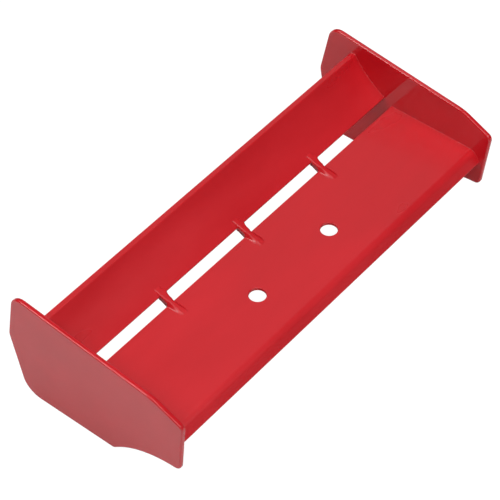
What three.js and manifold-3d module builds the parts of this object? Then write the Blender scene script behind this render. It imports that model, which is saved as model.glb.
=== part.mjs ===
// Rear wing of a 1/10 scale off-road model car, moulded in red plastic.
//
// Millimetres, +Z up. X runs across the span, +Y points to the rear of the car, and the
// leading edge is at -Y. Z = 0 is the bottom edge of the end plates, and X = Y = 0 is the
// middle of the wing seen from above. Outlines are written as [y, z, corner radius], with
// y counted from the slot edge of the main plane, and are moved to the middle at the end.

import * as THREE from 'three';
import { mergeVertices } from 'three/addons/utils/BufferGeometryUtils.js';
import Module from 'manifold-3d';

const SPAN = 165; // over the end plates, at the level of the main plane
const PLATE_THICKNESS = 1.8;
const PLATE_LEAN = 0.03; // how far an end plate leans outward for each unit of height
const PLATE_EDGE_ROUND = 0.8;

const DECK_HEIGHT = 26; // top surface of the main plane
const DECK_LENGTH = 35.8; // slot edge to the bend of the leading edge
const DECK_THICKNESS = 1.2;
const LIP_LENGTH = 4.9; // turned-down leading edge
const LIP_ANGLE = THREE.MathUtils.degToRad(56); // below the horizontal
const LIP_BEND_RADIUS = 2;

const FLAP_BOTTOM = new THREE.Vector2(3.13, DECK_HEIGHT + 2.15); // front corner of its lower edge
const FLAP_TOP = new THREE.Vector2(17, DECK_HEIGHT + 14.5); // front corner of its trailing edge
const FLAP_CAMBER = THREE.MathUtils.degToRad(12.4); // slope change from the chord to either edge
const FLAP_CAMBER_RADIUS = 38;
const FLAP_THICKNESS = 1.5;
const FLAP_TOP_ROUND = 0.9; // front corner of the trailing edge
const FLAP_TOP_SWELL = 0.35; // how much further back the rear face comes at the top

const POST_HOLE_RADIUS = 3;
const POST_HOLE_SPACING = 38.2;
const POST_HOLE_SETBACK = 19.7; // slot edge to the holes' centre line

const RIB_THICKNESS = 2.6;
const RIB_PITCH = 40;
const RIB_REACH_FORWARD = 5.6; // over the main plane
const RIB_KNEE = [0, DECK_HEIGHT + 1.75, 16]; // the hollow of its upper edge
const RIB_CREST = [3.6, DECK_HEIGHT + 3, 4];
const RIB_TOE_LENGTH = 2.5; // over the flap's front face
const RIB_HEEL = [4.8, DECK_HEIGHT + 0.5]; // where its underside turns up to the flap
const RIB_REACH_BACK = 7; // under the flap

const EDGE_ROUND = 0.4; // free edges of the sheets
const JOINT_GAP = 0.3; // between neighbouring solids

const ARC_STEPS = 6; // for each rounded corner
const BEVEL_STEPS = 2;
const HOLE_SIDES = 48;
const MERGE_DISTANCE = 1e-5;

const PLATE_OUTLINE = [
  [28.4, 47.2, 5], // rear top
  [-29.5, 40.3, 18], // where the top edge turns down
  [-41.7, 34.8, 2.5], // front top
  [-39.4, 11.6, 2.4], // front foot
  [-23, 10.9, 40], // hollow under the nose
  [-10.8, 0, 2],
  [27.2, 0, 7.5], // rear foot
  [32.2, 26.1, 6], // rearmost point
];

const wasm = await Module();
wasm.setup();

const redPlastic = {
  color: new THREE.Color().setRGB(0.8, 0.2, 0.22, THREE.SRGBColorSpace),
  roughness: 0.3,
  metalness: 0,
};

// Sections lie in the Y-Z plane and are extruded along X.
const sectionToPart = new THREE.Matrix4().makeBasis(
  new THREE.Vector3(0, 1, 0),
  new THREE.Vector3(0, 0, 1),
  new THREE.Vector3(1, 0, 0),
);

// A closed outline whose corners are rounded; it turns left at a convex corner.
function roundedShape(corners) {
  const shape = new THREE.Shape();
  corners.forEach(([y, z, radius = 0], index) => {
    const corner = new THREE.Vector2(y, z);
    const before = new THREE.Vector2(...corners.at(index - 1));
    const after = new THREE.Vector2(...corners[(index + 1) % corners.length]);
    const arriving = corner.clone().sub(before).normalize();
    const leaving = after.sub(corner).normalize();
    const turn = Math.atan2(arriving.cross(leaving), arriving.dot(leaving));
    const start = corner.clone().addScaledVector(arriving, -radius * Math.tan(Math.abs(turn) / 2));
    if (index === 0) {
      shape.moveTo(start.x, start.y);
    } else {
      shape.lineTo(start.x, start.y);
    }
    if (radius > 0) {
      const side = Math.sign(turn);
      const toCentre = new THREE.Vector2(-arriving.y, arriving.x).multiplyScalar(side);
      const centre = start.clone().addScaledVector(toCentre, radius);
      const from = Math.atan2(-toCentre.y, -toCentre.x);
      shape.absarc(centre.x, centre.y, radius, from, from + turn, turn < 0);
    }
  });
  shape.closePath();
  return shape;
}

// Extrudes a section along X, centred on X = 0.
function extrudeAcross(corners, width, edgeRound = 0) {
  const geometry = new THREE.ExtrudeGeometry(roundedShape(corners), {
    depth: width - 2 * edgeRound,
    curveSegments: ARC_STEPS,
    bevelEnabled: edgeRound > 0,
    bevelThickness: edgeRound,
    bevelSize: edgeRound,
    bevelOffset: -edgeRound,
    bevelSegments: BEVEL_STEPS,
  });
  geometry.translate(0, 0, edgeRound - width / 2);
  return geometry.applyMatrix4(sectionToPart);
}

function toSolid(geometry) {
  const bare = geometry.clone();
  bare.deleteAttribute('normal');
  bare.deleteAttribute('uv');
  const merged = mergeVertices(bare, MERGE_DISTANCE);
  return new wasm.Manifold(new wasm.Mesh({
    numProp: 3,
    vertProperties: new Float32Array(merged.attributes.position.array),
    triVerts: new Uint32Array(merged.index.array),
  }));
}

function toGeometry(solid) {
  const mesh = solid.getMesh();
  const geometry = new THREE.BufferGeometry();
  geometry.setAttribute('position', new THREE.BufferAttribute(mesh.vertProperties, mesh.numProp));
  geometry.setIndex(new THREE.BufferAttribute(mesh.triVerts, 1));
  geometry.computeVertexNormals();
  return geometry;
}

// The space between the leaning end plates, less the gap to each.
function bayBetweenPlates() {
  const halfWidthAt = (height) => (
    SPAN / 2 - PLATE_THICKNESS - JOINT_GAP + PLATE_LEAN * (height - DECK_HEIGHT)
  );
  const top = 2 * DECK_HEIGHT;
  const reach = SPAN / 2;
  const shape = new THREE.Shape([
    new THREE.Vector2(-halfWidthAt(0), 0),
    new THREE.Vector2(halfWidthAt(0), 0),
    new THREE.Vector2(halfWidthAt(top), top),
    new THREE.Vector2(-halfWidthAt(top), top),
  ]);
  const geometry = new THREE.ExtrudeGeometry(shape, { depth: 2 * reach, bevelEnabled: false });
  geometry.rotateX(Math.PI / 2);
  geometry.translate(0, reach, 0);
  return toSolid(geometry);
}

function endPlate(side) {
  const geometry = extrudeAcross(PLATE_OUTLINE, PLATE_THICKNESS, PLATE_EDGE_ROUND);
  const lean = new THREE.Matrix4().makeShear(0, 0, 0, 0, side * PLATE_LEAN, 0);
  geometry.translate(side * (SPAN - PLATE_THICKNESS) / 2, 0, -DECK_HEIGHT);
  geometry.applyMatrix4(lean);
  geometry.translate(0, 0, DECK_HEIGHT);
  return geometry;
}

// A level sheet with its front turned down, cut to length by the end plates and drilled
// for the two body posts.
function mainPlane(bay) {
  const down = new THREE.Vector2(-Math.cos(LIP_ANGLE), -Math.sin(LIP_ANGLE));
  const inward = new THREE.Vector2(-down.y, down.x).multiplyScalar(DECK_THICKNESS);
  const bend = new THREE.Vector2(-DECK_LENGTH, DECK_HEIGHT);
  const lipEnd = bend.clone().addScaledVector(down, LIP_LENGTH);
  const innerEnd = lipEnd.clone().add(inward);
  const innerBend = new THREE.Vector2(
    bend.x + DECK_THICKNESS * Math.tan(LIP_ANGLE / 2),
    bend.y - DECK_THICKNESS,
  );
  const section = [
    [0, DECK_HEIGHT, EDGE_ROUND],
    [bend.x, bend.y, LIP_BEND_RADIUS],
    [lipEnd.x, lipEnd.y, EDGE_ROUND],
    [innerEnd.x, innerEnd.y, EDGE_ROUND],
    [innerBend.x, innerBend.y, LIP_BEND_RADIUS - DECK_THICKNESS],
    [0, innerBend.y, EDGE_ROUND],
  ];
  let solid = toSolid(extrudeAcross(section, SPAN)).intersect(bay);
  for (const side of [-1, 1]) {
    const drill = new THREE.CylinderGeometry(
      POST_HOLE_RADIUS, POST_HOLE_RADIUS, 4 * DECK_THICKNESS, HOLE_SIDES,
    );
    drill.rotateX(Math.PI / 2);
    drill.translate(side * POST_HOLE_SPACING / 2, -POST_HOLE_SETBACK, DECK_HEIGHT);
    solid = solid.subtract(toSolid(drill));
  }
  return toGeometry(solid);
}

// The four lines that bound the cambered flap: its front face bends once, with a large
// radius, half-way up the chord, and its back follows it at a constant thickness.
function flapFrame() {
  const chord = FLAP_TOP.clone().sub(FLAP_BOTTOM);
  const chordAngle = chord.angle();
  const sideLength = chord.length() / 2 / Math.cos(FLAP_CAMBER);
  const lowerAngle = chordAngle - FLAP_CAMBER;
  const upperAngle = chordAngle + FLAP_CAMBER;
  const lowerRun = new THREE.Vector2(Math.cos(lowerAngle), Math.sin(lowerAngle));
  const upperRun = new THREE.Vector2(Math.cos(upperAngle), Math.sin(upperAngle));
  const back = new THREE.Vector2(Math.sin(lowerAngle), -Math.cos(lowerAngle));
  const knee = FLAP_BOTTOM.clone().addScaledVector(lowerRun, sideLength);
  const backBottom = FLAP_BOTTOM.clone().addScaledVector(back, FLAP_THICKNESS);
  const backKnee = backBottom.clone()
    .addScaledVector(lowerRun, sideLength + FLAP_THICKNESS * Math.tan(FLAP_CAMBER));
  const backTop = new THREE.Vector2(
    backKnee.x + (FLAP_TOP.y - backKnee.y) * upperRun.x / upperRun.y + FLAP_TOP_SWELL,
    FLAP_TOP.y,
  );
  return { lowerRun, back, knee, backBottom, backKnee, backTop };
}

function rearFlap(bay) {
  const { knee, backBottom, backKnee, backTop } = flapFrame();
  const section = [
    [FLAP_TOP.x, FLAP_TOP.y, FLAP_TOP_ROUND],
    [knee.x, knee.y, FLAP_CAMBER_RADIUS],
    [FLAP_BOTTOM.x, FLAP_BOTTOM.y, EDGE_ROUND],
    [backBottom.x, backBottom.y, EDGE_ROUND],
    [backKnee.x, backKnee.y, FLAP_CAMBER_RADIUS + FLAP_THICKNESS],
    [backTop.x, backTop.y, EDGE_ROUND],
  ];
  return toGeometry(toSolid(extrudeAcross(section, SPAN)).intersect(bay));
}

// A web that holds the flap's lower edge to the slot edge of the main plane. It lies on the
// main plane in front, wraps round the lower edge of the flap and runs out under it.
function slotRib() {
  const { lowerRun, back, backBottom } = flapFrame();
  const floor = DECK_HEIGHT - DECK_THICKNESS;
  const deckTop = DECK_HEIGHT + JOINT_GAP;
  const clearOfEdge = (point, along, behind) => point.clone()
    .addScaledVector(lowerRun, along)
    .addScaledVector(back, behind);
  const toe = clearOfEdge(FLAP_BOTTOM, RIB_TOE_LENGTH, -JOINT_GAP);
  const frontCorner = clearOfEdge(FLAP_BOTTOM, -JOINT_GAP, -JOINT_GAP);
  const backCorner = clearOfEdge(backBottom, -JOINT_GAP, JOINT_GAP);
  const runOut = clearOfEdge(backCorner, (RIB_REACH_BACK - backCorner.x) / lowerRun.x, 0);
  return extrudeAcross([
    [toe.x, toe.y],
    RIB_CREST,
    RIB_KNEE,
    [-RIB_REACH_FORWARD, deckTop],
    [JOINT_GAP, deckTop],
    [JOINT_GAP, floor],
    RIB_HEEL,
    [runOut.x, runOut.y],
    [backCorner.x, backCorner.y],
    [frontCorner.x, frontCorner.y],
  ], RIB_THICKNESS);
}

function piece(name, geometry) {
  const mesh = new THREE.Mesh(geometry, new THREE.MeshStandardMaterial(redPlastic));
  mesh.name = name;
  return mesh;
}

function buildWing() {
  const bay = bayBetweenPlates();
  const wing = new THREE.Group();
  wing.add(
    piece('main_plane', mainPlane(bay)),
    piece('rear_flap', rearFlap(bay)),
    piece('left_end_plate', endPlate(1)),
    piece('right_end_plate', endPlate(-1)),
  );
  ['right', 'centre', 'left'].forEach((place, index) => {
    const rib = piece(`slot_rib_${place}`, slotRib());
    rib.position.x = (index - 1) * RIB_PITCH;
    wing.add(rib);
  });
  const bounds = new THREE.Box3().setFromObject(wing);
  wing.position.y = -(bounds.min.y + bounds.max.y) / 2;
  return wing;
}

export default buildWing();
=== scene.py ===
import math

import bmesh
import bpy
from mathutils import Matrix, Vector


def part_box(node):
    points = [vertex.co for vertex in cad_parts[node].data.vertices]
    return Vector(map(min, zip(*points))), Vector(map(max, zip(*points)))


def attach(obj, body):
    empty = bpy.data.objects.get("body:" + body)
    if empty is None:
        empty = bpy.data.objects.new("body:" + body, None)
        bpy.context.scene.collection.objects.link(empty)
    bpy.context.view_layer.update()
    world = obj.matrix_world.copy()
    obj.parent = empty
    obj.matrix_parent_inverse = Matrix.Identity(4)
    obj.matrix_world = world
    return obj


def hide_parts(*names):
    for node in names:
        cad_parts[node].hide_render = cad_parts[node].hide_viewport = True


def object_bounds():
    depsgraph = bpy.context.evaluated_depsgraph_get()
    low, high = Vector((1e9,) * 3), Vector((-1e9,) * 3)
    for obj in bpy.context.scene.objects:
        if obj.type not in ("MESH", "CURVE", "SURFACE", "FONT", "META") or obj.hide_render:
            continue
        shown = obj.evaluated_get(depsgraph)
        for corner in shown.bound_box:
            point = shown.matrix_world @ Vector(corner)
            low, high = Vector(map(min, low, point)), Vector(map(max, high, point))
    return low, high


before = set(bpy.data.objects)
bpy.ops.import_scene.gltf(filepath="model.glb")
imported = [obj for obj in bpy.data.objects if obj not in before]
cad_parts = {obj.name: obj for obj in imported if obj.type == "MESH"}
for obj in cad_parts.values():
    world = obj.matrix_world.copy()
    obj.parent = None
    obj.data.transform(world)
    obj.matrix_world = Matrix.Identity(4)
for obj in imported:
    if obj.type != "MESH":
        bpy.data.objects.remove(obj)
cad_low, cad_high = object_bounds()

# The wing is one moulding in through-coloured red plastic. Each CAD node is replaced by a
# finer mesh in the same place, with rounded edges and with fillets where walls meet.
# Metres, +Z up, +Y to the rear of the car. Outlines are (y, z, corner radius) with y
# counted from the slot edge of the main plane, except that the end plates' heights are
# counted from their feet.

BODY = "root"

# ---------------------------------------------------------------- dimensions

deck_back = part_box("main_plane")[1]
SLOT_EDGE = deck_back.y
DECK_TOP = deck_back.z
PLATE_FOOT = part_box("left_end_plate")[0].z
HALF_SPAN = 0.0825  # to the outside of an end plate, at the height of the deck's top

DECK_THICKNESS = 0.0012
DECK_LENGTH = 0.0358  # slot edge to the bend of the leading edge
LIP_LENGTH = 0.0049
LIP_ANGLE = math.radians(56)  # below the horizontal
LIP_BEND_RADIUS = 0.0032
SHEET_EDGE_RADIUS = 0.00025

HOLE_RADIUS = 0.003
HOLE_OFFSET = 0.0191  # to either side of the middle
HOLE_SETBACK = 0.0197  # from the slot edge
HOLE_RIM_RADIUS = 0.00022
HOLE_COLLAR = 3 * HOLE_RIM_RADIUS  # flat ring outside the rounded rim
HOLE_PATCH = 0.0052  # half the side of the square patch round a hole
HOLE_SIDE_STEPS = 12
ROUNDING_MARGIN = 1.001

FLAP_BOTTOM = Vector((0.00313, DECK_TOP + 0.00215))
FLAP_TOP = Vector((0.017, DECK_TOP + 0.0145))
FLAP_CAMBER = math.radians(12.4)
FLAP_CAMBER_RADIUS = 0.038
FLAP_THICKNESS = 0.0015
FLAP_TOP_RADIUS = 0.0006  # front corner of the trailing edge
FLAP_TOP_SWELL = 0.00035  # how much further back the rear face comes at the top
FLAP_SECTIONS = (-0.04, 0.0, 0.04)

PLATE_THICKNESS = 0.0018
PLATE_LEAN = 0.03  # outward for each unit of height
PLATE_RIM_RADIUS = 0.0006
PLATE_OUTLINE = [
    (0.0284, 0.0472, 0.005),
    (-0.0295, 0.0403, 0.018),
    (-0.0417, 0.0348, 0.0025),
    (-0.0394, 0.0116, 0.0024),
    (-0.0230, 0.0109, 0.040),
    (-0.0108, 0.0, 0.002),
    (0.0272, 0.0, 0.0075),
    (0.0322, 0.0261, 0.006),
]

WALL_FILLET = 0.00015  # where the main plane and the flap meet an end plate
WALL_OVERLAP = 0.0004  # how far they run on inside it

RIB_HALF_WIDTH = 0.0013
RIB_PLACES = ("right", "centre", "left")
RIB_RIDGE = [  # (y, height over the deck) along its upper edge, from the deck to the flap
    (-0.0072, -0.0001),
    (-0.0030, 0.0008),
    (-0.0005, 0.0016),
    (0.00135, 0.0022),
    (0.0033, 0.0029),
    (0.0048, 0.0034),
    (0.0064, 0.0038),
]
RIB_STATIONS = 44
RIB_CROWN = 0.0007  # rounding of its upper edges
RIB_SKIRT = 0.0005  # how far its flanks slope out over the deck
RIB_SLOT_FILLET = 0.0003  # between its walls and the deck's slot edge
RIB_FLAP_FILLETS = {-1: (0.0002, 0.0002), 1: (0.0024, 0.0010)}  # (length, width), by side
RIB_FLAP_BLEND = 0.0012  # length over which those fillets die out on the flap
RIB_SUNK = 0.00005  # how far it stays inside a wall that it runs along

ARC_STEPS = 12
FILLET_STEPS = 6
RIM_STEPS = 8
CROWN_STEPS = 12
END_SECTIONS = FILLET_STEPS + 2  # of a sheet, at each end plate
FLAT_FACE_WEIGHT = 100  # keeps the shading of flat faces flat beside a rounded edge


# ---------------------------------------------------------------- outlines

def rounded(corners, steps=ARC_STEPS):
    """Points and outward normals of a closed outline, run with the inside on its left."""
    points, normals = [], []
    for index, (y, z, radius) in enumerate(corners):
        corner = Vector((y, z))
        before = Vector(corners[index - 1][:2])
        after = Vector(corners[(index + 1) % len(corners)][:2])
        arriving = (corner - before).normalized()
        leaving = (after - corner).normalized()
        turn = math.atan2(arriving.cross(leaving), arriving.dot(leaving))
        start = corner - arriving * radius * math.tan(abs(turn) / 2)
        outward = Vector((arriving.y, -arriving.x))
        bend = math.copysign(radius, turn)
        centre = start - outward * bend
        for step in range(steps + 1 if radius > 0 else 1):
            angle = turn * step / steps
            cos, sin = math.cos(angle), math.sin(angle)
            normal = Vector((
                outward.x * cos - outward.y * sin,
                outward.x * sin + outward.y * cos,
            ))
            points.append(centre + normal * bend)
            normals.append(normal)
    return points, normals


def quarter_turn(steps):
    """Angles from nought to a right angle."""
    return [math.pi / 2 * step / steps for step in range(steps + 1)]


def inner_face(height):
    """Half the distance between the end plates at a height."""
    return HALF_SPAN - PLATE_THICKNESS + PLATE_LEAN * (height - DECK_TOP)


# ---------------------------------------------------------------- mesh building

def finished(mesh, name, node, material):
    """Turns a bmesh into a shaded piece that stands for a CAD node."""
    bmesh.ops.recalc_face_normals(mesh, faces=mesh.faces)
    data = bpy.data.meshes.new(name)
    mesh.to_mesh(data)
    mesh.free()
    data.shade_smooth()
    data.materials.append(material)
    piece = bpy.data.objects.new(name, data)
    bpy.context.scene.collection.objects.link(piece)
    weighted = piece.modifiers.new("even_shading", "WEIGHTED_NORMAL")
    weighted.weight = FLAT_FACE_WEIGHT
    weighted.keep_sharp = True
    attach(piece, BODY)
    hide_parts(node)
    return piece


def bridge(mesh, ring_a, ring_b, skip=()):
    """Joins two rings of vertices with quads, and leaves some of them out."""
    for index in range(len(ring_a)):
        if index in skip:
            continue
        following = (index + 1) % len(ring_a)
        mesh.faces.new((
            ring_a[index], ring_a[following], ring_b[following], ring_b[index],
        ))


def close_ends(mesh, rings):
    """Caps the first and the last ring."""
    mesh.faces.new(rings[0])
    mesh.faces.new(rings[-1])


def end_plate(side, name, node):
    """A flat plate whose rim is rounded, leaning outward."""
    points, normals = rounded(PLATE_OUTLINE)
    half = PLATE_THICKNESS / 2
    rows = []
    for face in (1, -1):
        arc = quarter_turn(RIM_STEPS)
        if face < 0:
            arc.reverse()
        for angle in arc:
            inset = PLATE_RIM_RADIUS * (1 - math.sin(angle))
            across = face * (half - PLATE_RIM_RADIUS * (1 - math.cos(angle)))
            rows.append((inset, across))
    middle = side * (HALF_SPAN - half)
    mesh = bmesh.new()
    rings = []
    for inset, across in rows:
        ring = []
        for point, normal in zip(points, normals):
            y, height = point - normal * inset
            z = PLATE_FOOT + height
            x = middle + side * (across + PLATE_LEAN * (z - DECK_TOP))
            ring.append(mesh.verts.new((x, SLOT_EDGE + y, z)))
        rings.append(ring)
    for ring_a, ring_b in zip(rings, rings[1:]):
        bridge(mesh, ring_a, ring_b)
    close_ends(mesh, rings)
    return finished(mesh, name, node, polished)


def stations_between_plates(inner_stations):
    """(what it is measured from, distance, growth) of each section along a sheet."""
    ends = [(-WALL_OVERLAP, WALL_FILLET)]
    ends += [
        (WALL_FILLET * (1 - math.sin(angle)), WALL_FILLET * (1 - math.cos(angle)))
        for angle in reversed(quarter_turn(FILLET_STEPS))
    ]
    right = [("right plate", gap, growth) for gap, growth in ends]
    left = [("left plate", gap, growth) for gap, growth in reversed(ends)]
    middle = [("middle", x, 0.0) for x in inner_stations]
    return right + middle + left


def span_sections(mesh, outline, inner_stations):
    """The rings of a sheet that runs from end plate to end plate, flared at both."""
    points, normals = outline
    rings = []
    for start, distance, growth in stations_between_plates(inner_stations):
        ring = []
        for point, normal in zip(points, normals):
            y, z = point + normal * growth
            if start == "middle":
                x = distance
            elif start == "left plate":
                x = inner_face(z) - distance
            else:
                x = distance - inner_face(z)
            ring.append(mesh.verts.new((x, SLOT_EDGE + y, z)))
        rings.append(ring)
    return rings


def deck_outline():
    """Section of the main plane, with points on the lines that bound the hole patches."""
    bottom = DECK_TOP - DECK_THICKNESS
    down = Vector((-math.cos(LIP_ANGLE), -math.sin(LIP_ANGLE)))
    bend = Vector((-DECK_LENGTH, DECK_TOP))
    lip_end = bend + down * LIP_LENGTH
    lip_inside = lip_end + Vector((-down.y, down.x)) * DECK_THICKNESS
    inner_bend = Vector((bend.x + DECK_THICKNESS * math.tan(LIP_ANGLE / 2), bottom))
    patch = [
        -HOLE_SETBACK + HOLE_PATCH * (1 - 2 * step / HOLE_SIDE_STEPS)
        for step in range(HOLE_SIDE_STEPS + 1)
    ]
    corners = [(0.0, DECK_TOP, SHEET_EDGE_RADIUS)]
    corners += [(y, DECK_TOP, 0.0) for y in patch]
    corners += [
        (*bend, LIP_BEND_RADIUS),
        (*lip_end, SHEET_EDGE_RADIUS),
        (*lip_inside, SHEET_EDGE_RADIUS),
        (*inner_bend, LIP_BEND_RADIUS - DECK_THICKNESS),
    ]
    corners += [(y, bottom, 0.0) for y in reversed(patch)]
    corners += [(0.0, bottom, SHEET_EDGE_RADIUS)]
    return rounded(corners)


def patch_boundary(rings, columns, rows):
    """The vertices round a square patch of the deck, in order."""
    first, last = columns[0], columns[-1]
    top, bottom = rows[0], rows[-1]
    loop = [rings[column][top] for column in columns[:-1]]
    loop += [rings[last][row] for row in rows[:-1]]
    loop += [rings[column][bottom] for column in reversed(columns[1:])]
    loop += [rings[first][row] for row in reversed(rows[1:])]
    return loop


def circle_row(mesh, centre, radius, z, like):
    """A ring of vertices round a hole, turned to match the patch boundary that it faces."""
    first = like[0].co - Vector((centre[0], centre[1], like[0].co.z))
    second = like[1].co - Vector((centre[0], centre[1], like[1].co.z))
    start = math.atan2(first.y, first.x)
    sense = math.copysign(1, first.x * second.y - first.y * second.x)
    row = []
    for index in range(len(like)):
        angle = start + sense * 2 * math.pi * index / len(like)
        row.append(mesh.verts.new((
            centre[0] + radius * math.cos(angle),
            centre[1] + radius * math.sin(angle),
            z,
        )))
    return row


def main_plane():
    """The deck: a sheet with a turned-down front and two round holes."""
    outline = deck_outline()
    points = outline[0]
    hole_y = -HOLE_SETBACK
    in_patch = [
        index for index, point in enumerate(points)
        if abs(point.x - hole_y) < HOLE_PATCH * ROUNDING_MARGIN
    ]
    mid_thickness = DECK_TOP - DECK_THICKNESS / 2
    upper = [index for index in in_patch if points[index].y > mid_thickness]
    lower = [index for index in in_patch if index not in upper]
    stations = []
    for centre in (-HOLE_OFFSET, HOLE_OFFSET):
        stations += [
            centre + HOLE_PATCH * (2 * step / HOLE_SIDE_STEPS - 1)
            for step in range(HOLE_SIDE_STEPS + 1)
        ]
    mesh = bmesh.new()
    rings = span_sections(mesh, outline, stations)
    per_block = HOLE_SIDE_STEPS + 1
    blocks = [
        list(range(first, first + per_block))
        for first in (END_SECTIONS, END_SECTIONS + per_block)
    ]
    open_columns = {column for block in blocks for column in block[:-1]}
    open_rows = set(upper[:-1]) | set(lower[:-1])
    for column, (ring_a, ring_b) in enumerate(zip(rings, rings[1:])):
        bridge(mesh, ring_a, ring_b, open_rows if column in open_columns else ())
    close_ends(mesh, rings)
    for centre, columns in zip((-HOLE_OFFSET, HOLE_OFFSET), blocks):
        drill_hole(mesh, (centre, SLOT_EDGE + hole_y), rings, columns, upper, lower)
    return finished(mesh, "moulded_main_plane", "main_plane", satin)


def drill_hole(mesh, centre, rings, columns, upper, lower):
    """Fills a square patch of both faces of the deck round a hole with rounded rims."""
    top_loop = patch_boundary(rings, columns, upper)
    bottom_loop = patch_boundary(rings, columns, list(reversed(lower)))
    bottom = DECK_TOP - DECK_THICKNESS
    rim = [
        (HOLE_RADIUS + HOLE_RIM_RADIUS * (1 - math.sin(angle)),
         HOLE_RIM_RADIUS * (1 - math.cos(angle)))
        for angle in quarter_turn(RIM_STEPS)
    ]
    profile = [(HOLE_RADIUS + HOLE_COLLAR, DECK_TOP)]
    profile += [(radius, DECK_TOP - depth) for radius, depth in rim]
    profile += [(radius, bottom + depth) for radius, depth in reversed(rim)]
    profile += [(HOLE_RADIUS + HOLE_COLLAR, bottom)]
    previous = top_loop
    for radius, z in profile:
        row = circle_row(mesh, centre, radius, z, top_loop)
        bridge(mesh, previous, row)
        previous = row
    bridge(mesh, previous, bottom_loop)


def flap_lines():
    """The direction of the flap's lower half, and the corners that follow from it."""
    chord = FLAP_TOP - FLAP_BOTTOM
    angle = math.atan2(chord.y, chord.x)
    half = chord.length / 2 / math.cos(FLAP_CAMBER)
    lower = Vector((math.cos(angle - FLAP_CAMBER), math.sin(angle - FLAP_CAMBER)))
    upper = Vector((math.cos(angle + FLAP_CAMBER), math.sin(angle + FLAP_CAMBER)))
    back = Vector((lower.y, -lower.x))
    knee = FLAP_BOTTOM + lower * half
    back_bottom = FLAP_BOTTOM + back * FLAP_THICKNESS
    back_knee = back_bottom + lower * (half + FLAP_THICKNESS * math.tan(FLAP_CAMBER))
    back_top = Vector((
        back_knee.x + (FLAP_TOP.y - back_knee.y) * upper.x / upper.y + FLAP_TOP_SWELL,
        FLAP_TOP.y,
    ))
    return lower, knee, back_bottom, back_knee, back_top


def rear_flap():
    """The cambered second element."""
    _, knee, back_bottom, back_knee, back_top = flap_lines()
    outline = rounded([
        (*FLAP_TOP, FLAP_TOP_RADIUS),
        (*knee, FLAP_CAMBER_RADIUS),
        (*FLAP_BOTTOM, SHEET_EDGE_RADIUS),
        (*back_bottom, SHEET_EDGE_RADIUS),
        (*back_knee, FLAP_CAMBER_RADIUS + FLAP_THICKNESS),
        (*back_top, SHEET_EDGE_RADIUS),
    ])
    mesh = bmesh.new()
    rings = span_sections(mesh, outline, FLAP_SECTIONS)
    for ring_a, ring_b in zip(rings, rings[1:]):
        bridge(mesh, ring_a, ring_b)
    close_ends(mesh, rings)
    return finished(mesh, "moulded_rear_flap", "rear_flap", satin)


def fillet_width(distance, radius):
    """How far a fillet stands out at a distance from the wall that it runs into."""
    if distance >= radius:
        return 0.0
    return radius - math.sqrt(max(0.0, radius ** 2 - (radius - max(0.0, distance)) ** 2))


def slope_at(knots, index):
    """Slope of the curve through the knots at one of them."""
    y_a, z_a = knots[max(index - 1, 0)]
    y_b, z_b = knots[min(index + 1, len(knots) - 1)]
    return (z_b - z_a) / (y_b - y_a)


def through(knots, y):
    """Height at y of a smooth curve through the knots."""
    index = 0
    while index < len(knots) - 2 and y > knots[index + 1][0]:
        index += 1
    (y_a, z_a), (y_b, z_b) = knots[index], knots[index + 1]
    length = y_b - y_a
    share = (y - y_a) / length
    ease = share * share * (3 - 2 * share)
    leaving = slope_at(knots, index) * length * share * (1 - share) ** 2
    arriving = slope_at(knots, index + 1) * length * share * share * (share - 1)
    return z_a + (z_b - z_a) * ease + leaving + arriving


def rib_levels(y):
    """Heights of a rib's foot, of the wall that it stands on there, and of its ridge."""
    lower, _, back_bottom, _, _ = flap_lines()
    slope = lower.y / lower.x
    deck_underside = DECK_TOP - DECK_THICKNESS
    across_slot = y / back_bottom.x
    if across_slot > 1:
        foot = back_bottom.y + (y - back_bottom.x) * slope
    else:
        foot = deck_underside + max(0.0, across_slot) * (back_bottom.y - deck_underside)
    foot += RIB_SUNK
    ridge = max(DECK_TOP + through(RIB_RIDGE, y), foot + RIB_SUNK)
    shelf = foot
    if y < 0:
        shelf = DECK_TOP
    elif y > FLAP_BOTTOM.x:
        shelf = FLAP_BOTTOM.y + (y - FLAP_BOTTOM.x) * slope
    return foot, min(shelf, ridge), ridge


def rib_side(y, hand):
    """Half the width of a rib's walls, with its fillets at the deck and the flap."""
    side = RIB_HALF_WIDTH
    length, width = RIB_FLAP_FILLETS[hand]
    if y >= 0:
        side += fillet_width(y, RIB_SLOT_FILLET)
    if 0 <= y <= FLAP_BOTTOM.x:
        side += fillet_width((FLAP_BOTTOM.x - y) / length, 1) * width
    elif y > FLAP_BOTTOM.x:
        side += width * max(0.0, 1 - (y - FLAP_BOTTOM.x) / RIB_FLAP_BLEND)
    return side


def rib_half_outline(y, hand):
    """One side of a rib's section: sloping flanks on the deck, upright walls beyond it."""
    foot, shelf, ridge = rib_levels(y)
    standing = ridge - shelf
    side = rib_side(y, hand)
    half = []
    if y < 0:
        skirt = min(RIB_SKIRT, standing, RIB_SLOT_FILLET - y)
        half.append((side + skirt, foot))
        for step in range(CROWN_STEPS + 1):
            share = step / CROWN_STEPS
            half.append((
                side + skirt - (skirt + RIB_CROWN) * share,
                shelf + standing * (1 - math.cos(math.pi * share)) / 2,
            ))
    else:
        half.append((side, foot))
        for angle in quarter_turn(CROWN_STEPS):
            half.append((
                side - RIB_CROWN * (1 - math.cos(angle)),
                ridge - min(RIB_CROWN, standing) * (1 - math.sin(angle)),
            ))
    return half


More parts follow.
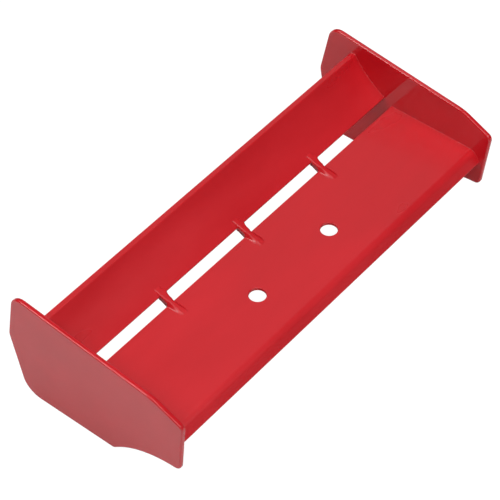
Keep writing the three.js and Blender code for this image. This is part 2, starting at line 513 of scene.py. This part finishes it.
def slot_rib(name, node):
    """A web across the slot, from a sloping foot on the deck up to the flap."""
    rib_low, rib_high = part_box(node)
    middle = (rib_low.x + rib_high.x) / 2
    start, end = RIB_RIDGE[0][0], RIB_RIDGE[-1][0]
    mesh = bmesh.new()
    rings = []
    for station in range(RIB_STATIONS + 1):
        y = start + (end - start) * station / RIB_STATIONS
        outline = rib_half_outline(y, 1)
        outline += [(-x, z) for x, z in reversed(rib_half_outline(y, -1))]
        rings.append([mesh.verts.new((middle + x, SLOT_EDGE + y, z)) for x, z in outline])
    for ring_a, ring_b in zip(rings, rings[1:]):
        bridge(mesh, ring_a, ring_b)
    close_ends(mesh, rings)
    return finished(mesh, name, node, satin)


# ---------------------------------------------------------------- materials

PLAIN_RED = (0.490, 0.0068, 0.0122, 1)
WARM_RED = (0.535, 0.0088, 0.0152, 1)  # along the flow marks
SPECK_RED = (0.44, 0.0060, 0.0110, 1)
# Painted shade: edges turn towards this deeper, darker red, for the dark lines along them.
EDGE_SHADE_RED = (0.38, 0.0020, 0.0060, 1)
SPECK_SHARE = 0.25
EDGE_SHADE_SHARE = 0.35
WORN_ROUGHNESS = 0.03
LEAST_EDGE_WEAR_AND_SHADE = 0.1

# The part of each pattern's range over which it takes effect.
FLOW_COLOURS = (0.35, 0.65)
FLOW_GLOSS = (0.3, 0.7)
SPECKS = (0.60, 0.75)
SCUFFS = (0.42, 0.62)
EDGE_TURN = (0.995, 0.90)  # cosine of how far the surface turns within the edge's width

UNDER_SURFACE_SHARE = 0.12  # of the light that enters the plastic
UNDER_SURFACE_SPREAD = (1.0, 0.12, 0.1)
UNDER_SURFACE_REACH = 0.0009

FLOW_STRETCH = (0.35, 1.0, 1.0)  # flow marks run along the span
FLOW_SCALE = 60
WAVE_SCALE = 55
SCUFF_SCALE = 420
PIGMENT_SCALE = 1400
GRAIN_SCALE = 3200
EDGE_WEAR_AND_SHADE_WIDTH = 0.0004
WAVES = {"Strength": 0.35, "Distance": 0.00006}
GRAIN = {"Strength": 0.12, "Distance": 0.000012}


def add_node(tree, kind, inputs=None, **settings):
    node = tree.nodes.new(kind)
    for key, value in settings.items():
        setattr(node, key, value)
    for key, value in (inputs or {}).items():
        node.inputs[key].default_value = value
    return node


def noise(tree, coordinates, scale, detail, roughness=0.5):
    node = add_node(tree, "ShaderNodeTexNoise",
                    {"Scale": scale, "Detail": detail, "Roughness": roughness})
    tree.links.new(coordinates, node.inputs["Vector"])
    return node.outputs["Fac"]


def spread(tree, value, span, to_low=0, to_high=1):
    """Stretches a span of the value to run from to_low to to_high."""
    node = add_node(tree, "ShaderNodeMapRange", {
        "From Min": span[0], "From Max": span[1], "To Min": to_low, "To Max": to_high,
    })
    tree.links.new(value, node.inputs["Value"])
    return node.outputs["Result"]


def blended(tree, share, colour_a, colour_b):
    """Goes from colour_a to colour_b, either of which may be a socket."""
    node = add_node(tree, "ShaderNodeMix", data_type="RGBA")
    tree.links.new(share, node.inputs["Factor"])
    for socket, colour in ((6, colour_a), (7, colour_b)):
        if isinstance(colour, tuple):
            node.inputs[socket].default_value = colour
        else:
            tree.links.new(colour, node.inputs[socket])
    return node.outputs[2]


def maths(tree, operation, a, b):
    node = add_node(tree, "ShaderNodeMath", operation=operation)
    for socket, value in enumerate((a, b)):
        if isinstance(value, (int, float)):
            node.inputs[socket].default_value = value
        else:
            tree.links.new(value, node.inputs[socket])
    return node.outputs[0]


def worn_and_shaded_edges(tree, where):
    """One on edges, in the patches of a scuff noise, and nought on flat faces; it marks
    edges that wear makes rougher and that painted shade makes a deeper, darker red.
    """
    scuffs = noise(tree, where, SCUFF_SCALE, 6, 0.7)
    bevel = add_node(tree, "ShaderNodeBevel", {"Radius": EDGE_WEAR_AND_SHADE_WIDTH}, samples=4)
    geometry = tree.nodes.new("ShaderNodeNewGeometry")
    facing = add_node(tree, "ShaderNodeVectorMath", operation="DOT_PRODUCT")
    tree.links.new(bevel.outputs["Normal"], facing.inputs[0])
    tree.links.new(geometry.outputs["Normal"], facing.inputs[1])
    edge = spread(tree, facing.outputs["Value"], EDGE_TURN)
    return maths(tree, "MULTIPLY", edge, spread(tree, scuffs, SCUFFS, LEAST_EDGE_WEAR_AND_SHADE))


def red_plastic(name, smoothest, roughest, ior):
    """Moulded plastic: flow marks, fine grain, pigment specks, and edges that are worn
    rougher and painted a deeper, darker red as painted shade.
    """
    material = bpy.data.materials.new(name)
    material.use_nodes = True
    tree = material.node_tree
    shader = tree.nodes["Principled BSDF"]
    shader.inputs["IOR"].default_value = ior
    shader.inputs["Subsurface Weight"].default_value = UNDER_SURFACE_SHARE
    shader.inputs["Subsurface Radius"].default_value = UNDER_SURFACE_SPREAD
    shader.inputs["Subsurface Scale"].default_value = UNDER_SURFACE_REACH

    where = tree.nodes.new("ShaderNodeTexCoord").outputs["Object"]
    stretched = add_node(tree, "ShaderNodeMapping", {"Scale": FLOW_STRETCH})
    tree.links.new(where, stretched.inputs["Vector"])
    flow = noise(tree, stretched.outputs["Vector"], FLOW_SCALE, 3)
    pigment = noise(tree, where, PIGMENT_SCALE, 2)
    worn_and_shaded = worn_and_shaded_edges(tree, where)

    base = blended(tree, spread(tree, flow, FLOW_COLOURS), PLAIN_RED, WARM_RED)
    specks = spread(tree, pigment, SPECKS, to_high=SPECK_SHARE)
    speckled = blended(tree, specks, base, SPECK_RED)
    # Painted shade: the edges are mixed towards a deeper, darker red.
    colour = blended(tree, maths(tree, "MULTIPLY", worn_and_shaded, EDGE_SHADE_SHARE), speckled, EDGE_SHADE_RED)
    tree.links.new(colour, shader.inputs["Base Color"])

    polish = spread(tree, flow, FLOW_GLOSS, smoothest, roughest)
    scratched = maths(tree, "MULTIPLY", worn_and_shaded, WORN_ROUGHNESS)
    tree.links.new(maths(tree, "ADD", polish, scratched), shader.inputs["Roughness"])

    ripple = add_node(tree, "ShaderNodeBump", WAVES)
    tree.links.new(noise(tree, where, WAVE_SCALE, 2), ripple.inputs["Height"])
    fine = add_node(tree, "ShaderNodeBump", GRAIN)
    tree.links.new(noise(tree, where, GRAIN_SCALE, 3, 0.6), fine.inputs["Height"])
    tree.links.new(ripple.outputs["Normal"], fine.inputs["Normal"])
    tree.links.new(fine.outputs["Normal"], shader.inputs["Normal"])
    return material


polished = red_plastic(
    "red_plastic_polished", smoothest=0.045, roughest=0.075, ior=1.57)
satin = red_plastic(
    "red_plastic_satin", smoothest=0.27, roughest=0.34, ior=1.5)

# ---------------------------------------------------------------- the wing

end_plate(1, "moulded_left_end_plate", "left_end_plate")
end_plate(-1, "moulded_right_end_plate", "right_end_plate")
main_plane()
rear_flap()
for place in RIB_PLACES:
    slot_rib("moulded_slot_rib_" + place, "slot_rib_" + place)

# ---------------------------------------------------------------- studio

FLOOR_RADIUS = 4.0
FLOOR_SIDES = 96
FLOOR_GREY = (0.71, 0.71, 0.71, 1)
FLOOR_GLOW = 1.12  # seen straight on, the floor is mostly this white
FLOOR_GLOW_SHARE = 0.88
WALL_GREY = (0.115, 0.115, 0.115, 1)
CEILING_GREY = (0.13, 0.13, 0.13, 1)
WALL_TOP, CEILING_EDGE = 0.35, 0.68  # where one grey starts to turn into the other
BACKDROP_WHITE = (1, 1, 1, 1)

SOFT_BOXES = [  # name, azimuth and elevation in degrees, distance, size, radiance
    ("overhead", 0, 88, 1.3, 0.8, 2.0),
    ("left", -113, 47, 1.2, 0.3, 8.5),
    ("left_rear", -132, 54, 1.2, 0.3, 8.5),
    ("left_front", -45, 55, 1.3, 0.6, 3.5),
    ("front", 0, 45, 1.3, 0.6, 5.0),
    ("rear", 180, 55, 1.3, 0.6, 2.4),
    ("right_rear", 122, 47, 1.3, 0.5, 0.55),
]


def pale_floor():
    """Matt and pale for the light that it sends back, white when seen straight on."""
    material = bpy.data.materials.new("pale_floor")
    material.use_nodes = True
    tree = material.node_tree
    shader = tree.nodes["Principled BSDF"]
    shader.inputs["Base Color"].default_value = FLOOR_GREY
    shader.inputs["Roughness"].default_value = 1.0
    shader.inputs["Specular IOR Level"].default_value = 0.0
    glow = add_node(tree, "ShaderNodeEmission", {"Strength": FLOOR_GLOW})
    seen = tree.nodes.new("ShaderNodeLightPath").outputs["Is Camera Ray"]
    mix = tree.nodes.new("ShaderNodeMixShader")
    tree.links.new(maths(tree, "MULTIPLY", seen, FLOOR_GLOW_SHARE), mix.inputs[0])
    tree.links.new(shader.outputs[0], mix.inputs[1])
    tree.links.new(glow.outputs[0], mix.inputs[2])
    tree.links.new(mix.outputs[0], tree.nodes["Material Output"].inputs["Surface"])
    return material


def studio_floor():
    """A wide round floor under the feet of the end plates."""
    mesh = bmesh.new()
    rim = []
    for side in range(FLOOR_SIDES):
        angle = 2 * math.pi * side / FLOOR_SIDES
        rim.append(mesh.verts.new((
            FLOOR_RADIUS * math.cos(angle), FLOOR_RADIUS * math.sin(angle), cad_low.z,
        )))
    mesh.faces.new(rim)
    data = bpy.data.meshes.new("studio_floor")
    mesh.to_mesh(data)
    mesh.free()
    data.materials.append(pale_floor())
    floor = bpy.data.objects.new("studio_floor", data)
    bpy.context.scene.collection.objects.link(floor)


def direction_to(azimuth, elevation):
    """Away from the wing. Azimuth 0 is in front of it, at -Y, and turns towards +X."""
    return Vector((
        math.sin(azimuth) * math.cos(elevation),
        -math.cos(azimuth) * math.cos(elevation),
        math.sin(elevation),
    ))


def soft_box(name, azimuth, elevation, distance, size, radiance):
    """A square light aimed at the wing."""
    direction = direction_to(math.radians(azimuth), math.radians(elevation))
    light = bpy.data.lights.new(name, "AREA")
    light.shape = "SQUARE"
    light.size = size
    light.energy = radiance * math.pi * size ** 2
    box = bpy.data.objects.new(name, light)
    box.location = direction * distance
    box.rotation_mode = "QUATERNION"
    box.rotation_quaternion = direction.to_track_quat("Z", "Y")
    bpy.context.scene.collection.objects.link(box)


def studio_sky():
    """A dim room round the wing; straight into the lens, the backdrop is white."""
    world = bpy.data.worlds.new("studio_sky")
    world.use_nodes = True
    tree = world.node_tree
    where = tree.nodes.new("ShaderNodeTexCoord").outputs["Generated"]
    split = tree.nodes.new("ShaderNodeSeparateXYZ")
    tree.links.new(where, split.inputs[0])
    ramp = tree.nodes.new("ShaderNodeValToRGB")
    tree.links.new(split.outputs["Z"], ramp.inputs["Fac"])
    walls, ceiling = ramp.color_ramp.elements
    walls.position, walls.color = WALL_TOP, WALL_GREY
    ceiling.position, ceiling.color = CEILING_EDGE, CEILING_GREY
    seen = tree.nodes.new("ShaderNodeLightPath").outputs["Is Camera Ray"]
    shown = blended(tree, seen, ramp.outputs["Color"], BACKDROP_WHITE)
    tree.links.new(shown, tree.nodes["Background"].inputs["Color"])
    bpy.context.scene.world = world


studio_floor()
studio_sky()
for settings in SOFT_BOXES:
    soft_box(*settings)
bpy.context.scene.view_settings.view_transform = "Standard"

# ---------------------------------------------------------------- camera

CAMERA_AZIMUTH = math.radians(-50.911)
CAMERA_ELEVATION = math.radians(46.99)
CAMERA_DISTANCE = 0.747516  # from the middle of the slot edge
CAMERA_RIGHT = 0.000782
CAMERA_UP = -0.005267
CAMERA_LENS = 160.455  # millimetres
CAMERA_SENSOR = 36.0

backward = direction_to(CAMERA_AZIMUTH, CAMERA_ELEVATION)
rightward = Vector((math.cos(CAMERA_AZIMUTH), math.sin(CAMERA_AZIMUTH), 0))
upward = backward.cross(rightward)
lens = bpy.data.cameras.new("camera")
lens.lens = CAMERA_LENS
lens.sensor_width = CAMERA_SENSOR
camera = bpy.data.objects.new("camera", lens)
camera.location = (
    Vector((0, SLOT_EDGE, DECK_TOP))
    + backward * CAMERA_DISTANCE
    + rightward * CAMERA_RIGHT
    + upward * CAMERA_UP
)
camera.rotation_euler = (math.pi / 2 - CAMERA_ELEVATION, 0, CAMERA_AZIMUTH)
bpy.context.scene.collection.objects.link(camera)
bpy.context.scene.camera = camera
